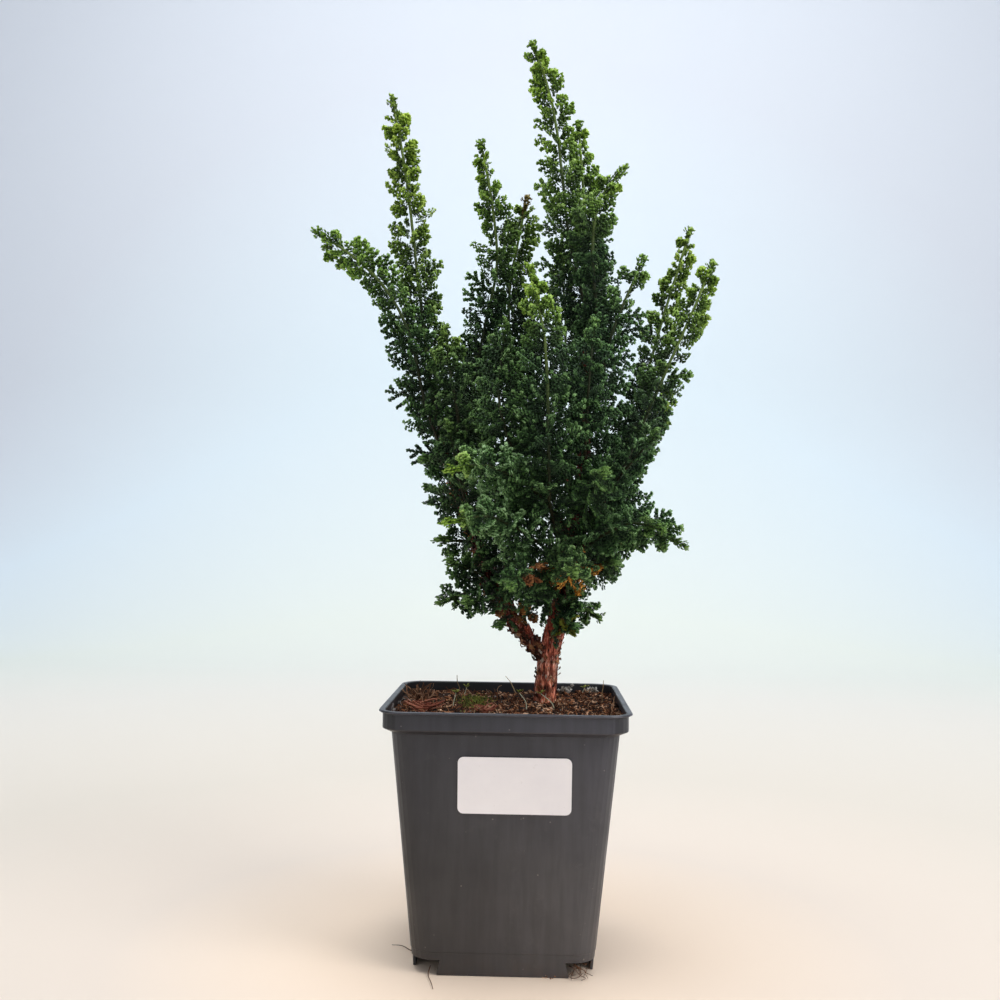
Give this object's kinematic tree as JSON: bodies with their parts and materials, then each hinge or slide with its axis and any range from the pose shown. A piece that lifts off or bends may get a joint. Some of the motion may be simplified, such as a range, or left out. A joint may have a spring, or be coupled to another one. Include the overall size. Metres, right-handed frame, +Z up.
{
  "type": "hinoki cypress bonsai in a square nursery pot",
  "caption": "Young hinoki cypress bonsai: a forked trunk with upright feathery leafy stems, standing in soil in a square tapered plastic nursery pot with a blank label.",
  "frame": {"origin": "centre of the pot's foot, on the surface that it stands on", "axes": "+Z up, along the pot and the trunk; -Y towards the front wall that carries the label; +X to the right seen from the front"},
  "size_m": [0.1908, 0.1417, 0.4275],
  "materials": {
    "pot_plastic": "satin",
    "label_paper": "satin",
    "soil": "matte",
    "bark": "matte",
    "green_foliage": "matte",
    "withered_foliage": "matte"
  },
  "bodies": {
    "root": {"pot": "pot_plastic", "label": "label_paper", "soil": "soil", "trunk": "bark", "leafy_stem_main_leader": "green_foliage", "leafy_stem_main_twin": "green_foliage", "leafy_stem_main_right": "green_foliage", "leafy_stem_tall_left": "green_foliage", "leafy_stem_far_left": "green_foliage", "leafy_stem_left_leader": "green_foliage", "leafy_stem_short_left": "green_foliage", "leafy_stem_rear_left_leader": "green_foliage", "leafy_stem_front_leader": "green_foliage", "leafy_stem_right_column": "green_foliage", "leafy_stem_right_spur": "green_foliage", "leafy_stem_right_leader": "green_foliage", "leafy_stem_far_right": "green_foliage", "leafy_stem_low_right": "green_foliage", "leafy_stem_low_right_front": "green_foliage", "leafy_stem_low_right_under": "green_foliage", "leafy_stem_right_twig": "green_foliage", "leafy_stem_low_front_right": "green_foliage", "leafy_stem_right_shoulder": "green_foliage", "leafy_stem_low_left_front": "green_foliage", "leafy_stem_lower_left_front": "green_foliage", "leafy_stem_low_left": "green_foliage", "leafy_stem_low_left_rear": "green_foliage", "leafy_stem_bottom_left": "green_foliage", "leafy_stem_bottom_left_front": "green_foliage", "leafy_stem_left_spur": "green_foliage", "leafy_stem_left_twig": "green_foliage", "leafy_stem_low_front_left": "green_foliage", "leafy_stem_low_front": "green_foliage", "leafy_stem_front_shoulder": "green_foliage", "leafy_stem_front_right_column": "green_foliage", "leafy_stem_front_left_column": "green_foliage", "leafy_stem_rear_leader": "green_foliage", "leafy_stem_rear_right_leader": "green_foliage", "leafy_stem_rear_far_left": "green_foliage", "leafy_stem_rear_centre": "green_foliage", "leafy_stem_rear_low_right": "green_foliage", "leafy_stem_rear_low_left": "green_foliage", "leafy_stem_rear_low": "green_foliage", "leafy_stem_rear_bottom": "green_foliage", "leafy_stem_rear_bottom_left": "green_foliage", "leafy_stem_rear_column": "green_foliage", "leafy_stem_rear_left_spur": "green_foliage", "leafy_stem_rear_under": "green_foliage", "leafy_stem_left_inner": "green_foliage", "leafy_stem_left_front": "green_foliage", "leafy_stem_left_low": "green_foliage", "withered_spray_brown": "withered_foliage", "withered_spray_orange": "withered_foliage", "withered_spray_rust": "withered_foliage", "withered_spray_yellow": "withered_foliage"}
  },
  "joints": []
}
